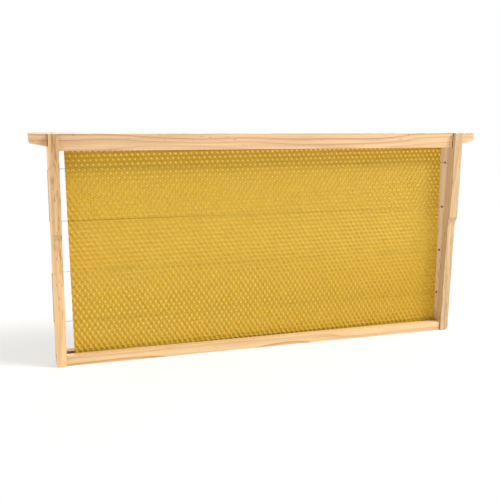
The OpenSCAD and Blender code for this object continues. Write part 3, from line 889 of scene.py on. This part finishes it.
def press_foundation():
    """The wax sheet with its cells and the beads over its wire."""
    corners = sheet_corners()
    middle = sum(corners, Vector()) / len(corners)
    wax = rolled_beeswax()
    host = new_object("foundation_pressed", foundation_cell())
    host.data = run_tree(host, cell_lattice(), {
        "Columns": CELL_COLUMNS, "Rows": CELL_ROWS, "Cell Pitch": CELL_PITCH * MM,
        "Row Pitch": ROW_PITCH * MM, "Turn": (0.0, -LATTICE_TURN, 0.0), "Middle": tuple(middle),
        "Join": MERGE * MM, "Material": wax})
    trim_sheet(host.data)
    whole = bmesh.new()
    whole.from_mesh(host.data)
    faces, points = len(whole.faces), len(whole.verts)
    whole.from_mesh(wire_beads(wax))
    whole.faces.ensure_lookup_table()
    whole.verts.ensure_lookup_table()
    bmesh.ops.recalc_face_normals(whole, faces=whole.faces[faces:])
    press = whole.verts.layers.float_vector["press"]
    beads = whole.verts[points:]
    each = len(beads) // WIRES
    for k, vert in enumerate(beads):
        left, right = BEAD_ENDS[k // each]
        vert[press] = (left if vert.co.x < 0 else right, 0.0, 0.0)
    whole.to_mesh(host.data)
    whole.free()
    dress(host.data, wax)
    hand_in(host, "beeswax", "foundation_sheet")


# Metal: tinned steel wire, a satin grey with duller spots; stamped brass eyelets, a warm yellow that has
# begun to brown; and drawn steel nails, a matt grey-brown from handling. Each has its bright and its dark
# colour, its roughness, and the size of its blotches.
TINNED_WIRE = ("tinned_steel_wire", "#A29C90", "#777067", 0.36, 1.5)
STAMPED_BRASS = ("stamped_brass", "#D9B565", "#B98F42", 0.30, 1.2)
NAIL_STEEL = ("drawn_steel_nail", "#A39888", "#7C6F60", 0.45, 0.8)
TARNISH = dict(zip(SPAN, (0.35, 0.65, 0.0, 1.0)))
WEAR_FROM = (0.3, 0.7)
DULLER = 0.10
BRIGHTER = 0.06
METAL_BUMP = 0.02
METAL_BUMP_SHARE = 0.2
ROUND_SIDES = 20


def drawn_metal(name, bright, dark, roughness, mark):
    """A metal with a soft tarnish."""
    material, tree = new_material(name)
    spot = add(tree, "ShaderNodeTexCoord").outputs["Object"]
    blotch = add(tree, "ShaderNodeTexNoise", {
        "Vector": spot, "Scale": 1 / (mark * MM), "Detail": 3.0, "Roughness": 0.6}).outputs["Fac"]
    tone = add(tree, "ShaderNodeMapRange", {"Value": blotch, **TARNISH})
    colour = add(tree, "ShaderNodeMix", {
        SHARE: tone.outputs[0], FIRST: linear(dark), SECOND: linear(bright)}, data_type="RGBA")
    worn = add(tree, "ShaderNodeMapRange", {
        "Value": blotch, **dict(zip(SPAN, (*WEAR_FROM, roughness + DULLER, roughness - BRIGHTER)))})
    bump = add(tree, "ShaderNodeBump", {
        "Strength": METAL_BUMP_SHARE, "Distance": METAL_BUMP * MM, "Height": blotch})
    surface = add(tree, "ShaderNodeBsdfPrincipled", {
        "Base Color": colour.outputs[MIXED], "Metallic": 1.0, "Roughness": worn.outputs[0],
        "Normal": bump.outputs[0]})
    add(tree, "ShaderNodeOutputMaterial", {"Surface": surface.outputs[0]})
    return material


def turned(name, profile, closed):
    """A round piece about the Z axis from its outline's (radius, height) points."""
    shape = bmesh.new()
    ways = [2 * math.pi * k / ROUND_SIDES for k in range(ROUND_SIDES)]
    rings = []
    for radius, height in profile:
        rings.append([shape.verts.new((radius * math.cos(a) * MM, radius * math.sin(a) * MM, height * MM))
                      for a in ways])
    pairs = list(zip(rings, rings[1:]))
    if closed:
        pairs.append((rings[-1], rings[0]))
    for lower, upper in pairs:
        for k in range(ROUND_SIDES):
            shape.faces.new((lower[k], lower[k - 1], upper[k - 1], upper[k]))
    bmesh.ops.remove_doubles(shape, verts=shape.verts, dist=MERGE * MM)
    bmesh.ops.recalc_face_normals(shape, faces=shape.faces)
    mesh = bpy.data.meshes.new(name)
    shape.to_mesh(mesh)
    shape.free()
    mesh.shade_smooth()
    mesh.set_sharp_from_angle(angle=EDGE_TURN)
    return new_object(name, mesh)


def fastener_tree():
    """Sets one fastener at each point, turned as the point's own attribute says."""
    tree, given = new_tree("set_fasteners", (
        ("Fastener", "NodeSocketObject"), ("Material", "NodeSocketMaterial")))
    made = add(tree, "GeometryNodeObjectInfo", {"Object": given["Fastener"]})
    turn = add(tree, "GeometryNodeInputNamedAttribute", {"Name": "turn"}, data_type="FLOAT_VECTOR")
    way = add(tree, "FunctionNodeEulerToRotation", {0: turn.outputs[0]})
    placed = add(tree, "GeometryNodeInstanceOnPoints", {
        "Points": given["Geometry"], "Instance": made.outputs["Geometry"], "Rotation": way.outputs[0]})
    real = add(tree, "GeometryNodeRealizeInstances", {"Geometry": placed.outputs[0]})
    dressed = add(tree, "GeometryNodeSetMaterial", {
        "Geometry": real.outputs[0], "Material": given["Material"]})
    add(tree, "NodeGroupOutput", {"Geometry": dressed.outputs[0]})
    return tree


def set_fasteners(name, tree, fastener, seats, material, slot, nodes):
    """One piece with a fastener at each seat, given as (place, turn)."""
    mesh = bpy.data.meshes.new(name)
    mesh.from_pydata([place for place, turn in seats], [], [])
    turns = mesh.attributes.new("turn", "FLOAT_VECTOR", "POINT")
    turns.data.foreach_set("vector", [angle for place, turn in seats for angle in turn])
    host = new_object(name, mesh)
    host.data = run_tree(host, tree, {"Fastener": fastener, "Material": material})
    dress(host.data, material)
    bpy.data.objects.remove(fastener)
    hand_in(host, slot, *nodes)


# Eyelet: its bore, tube, flange, the height of its rolled lip and the depth of its tube, then its outline
# as (radius, height) points from the bore's foot over the lip to the tube's foot.
EYELET_BORE = 1.2
EYELET_TUBE = 1.5
EYELET_FLANGE = 2.5
EYELET_LIP = 0.5
EYELET_DEPTH = 4.0
EYELET_OUTLINE = (
    (EYELET_BORE, -EYELET_DEPTH), (EYELET_BORE, -0.35), (EYELET_BORE + 0.08, 0.2 * EYELET_LIP),
    (EYELET_BORE + 0.32, 0.85 * EYELET_LIP), (EYELET_BORE + 0.62, EYELET_LIP),
    (EYELET_FLANGE - 0.35, 0.85 * EYELET_LIP), (EYELET_FLANGE, 0.35 * EYELET_LIP),
    (EYELET_FLANGE - 0.06, 0.0), (EYELET_TUBE, 0.0), (EYELET_TUBE, -EYELET_DEPTH))
# Nails and tacks: shank and head by their radius, the head's thickness and the length of the point. The
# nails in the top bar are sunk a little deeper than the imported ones.
NAIL = {"shank": 0.75, "head": 1.5, "thick": 0.7, "point": 2.0}
TACK = {"shank": 0.6, "head": 1.6, "thick": 0.6, "point": 1.5}
NAIL_SUNK = 0.45
TOP_NAIL = 32.0
BOTTOM_NAIL = 25.0
TACK_LENGTH = 8.0
# The flare where a shank meets its head, as (height, added radius), and the head's outline, as (taken off
# its radius, share of its thickness), with the share of its radius that is flat on top.
HEAD_FLARE = ((-0.3, 0.0), (-0.05, 0.1))
HEAD_OUTLINE = ((0.12, 0.0), (0.0, 0.2), (0.0, 0.6), (0.18, 0.92))
HEAD_FLAT = 0.45
FACE_LEFT = (0.0, -math.pi / 2, 0.0)
FACE_RIGHT = (0.0, math.pi / 2, 0.0)
FACE_UP = (0.0, 0.0, 0.0)
FACE_DOWN = (math.pi, 0.0, 0.0)


def nail_profile(length, shank, head, thick, point):
    """Point, shank and a flat head with a rounded rim, from the tip up; the head's underside is at 0."""
    outline = [(0.0, -length), (shank, -length + point)]
    outline += [(shank + wider, height) for height, wider in HEAD_FLARE]
    outline += [(head - inset, share * thick) for inset, share in HEAD_OUTLINE]
    return outline + [(HEAD_FLAT * head, thick), (0.0, thick)]


def middle_of(node):
    """The box of a CAD node and its middle."""
    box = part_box(node)
    return box, (box[0] + box[1]) / 2


def set_eyelets(tree):
    """A brass eyelet in each wire hole, with its lip on the outer face of its end bar."""
    eyelet = turned("eyelet", EYELET_OUTLINE, True)
    seats, names = [], []
    for side, outer, turn, inward in (("left", 0, FACE_LEFT, 1), ("right", 1, FACE_RIGHT, -1)):
        for i in range(1, WIRES + 1):
            name = f"{side}_eyelet_{i}"
            box, middle = middle_of(name)
            seats.append(((box[outer].x + inward * EYELET_LIP * MM, middle.y, middle.z), turn))
            names.append(name)
    set_fasteners("eyelets_stamped", tree, eyelet, seats, drawn_metal(*STAMPED_BRASS), "brass", names)


def drive_nails(tree, steel):
    """Four nails down through the top bar and four up through the bottom bar."""
    for level, length, turn, top, inward, sunk in (
            ("top", TOP_NAIL, FACE_UP, 1, -1, NAIL_SUNK), ("bottom", BOTTOM_NAIL, FACE_DOWN, 0, 1, 0.0)):
        nail = turned("nail", nail_profile(length, **NAIL), False)
        seats, names = [], []
        for side in ("left", "right"):
            for face in ("front", "back"):
                name = f"{level}_{side}_nail_{face}"
                box, middle = middle_of(name)
                seat = box[top].z + inward * (NAIL["thick"] + sunk) * MM
                seats.append(((middle.x, middle.y, seat), turn))
                names.append(name)
        set_fasteners(level + "_nails_driven", tree, nail, seats, steel, "nail_steel", names)


def drive_tacks(tree, steel):
    """The two tacks that the wire's ends are tied to."""
    tack = turned("tack", nail_profile(TACK_LENGTH, **TACK), False)
    names = ["wire_start_tack", "wire_end_tack"]
    seats = []
    for name in names:
        box, middle = middle_of(name)
        seats.append(((box[1].x - TACK["thick"] * MM, middle.y, middle.z), FACE_RIGHT))
    set_fasteners("wire_tacks_driven", tree, tack, seats, steel, "nail_steel", names)


def fit_metal():
    """Wire, eyelets, nails and tacks; the wire is the CAD node itself."""
    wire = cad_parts["frame_wire"].data
    wire.materials.clear()
    wire.materials.append(drawn_metal(*TINNED_WIRE))
    tree = fastener_tree()
    steel = drawn_metal(*NAIL_STEEL)
    set_eyelets(tree)
    drive_nails(tree, steel)
    drive_tacks(tree, steel)


aim_camera()
light_studio()
lay_floor()
plane_sticks()
press_foundation()
fit_metal()
scene.view_settings.view_transform = "Standard"
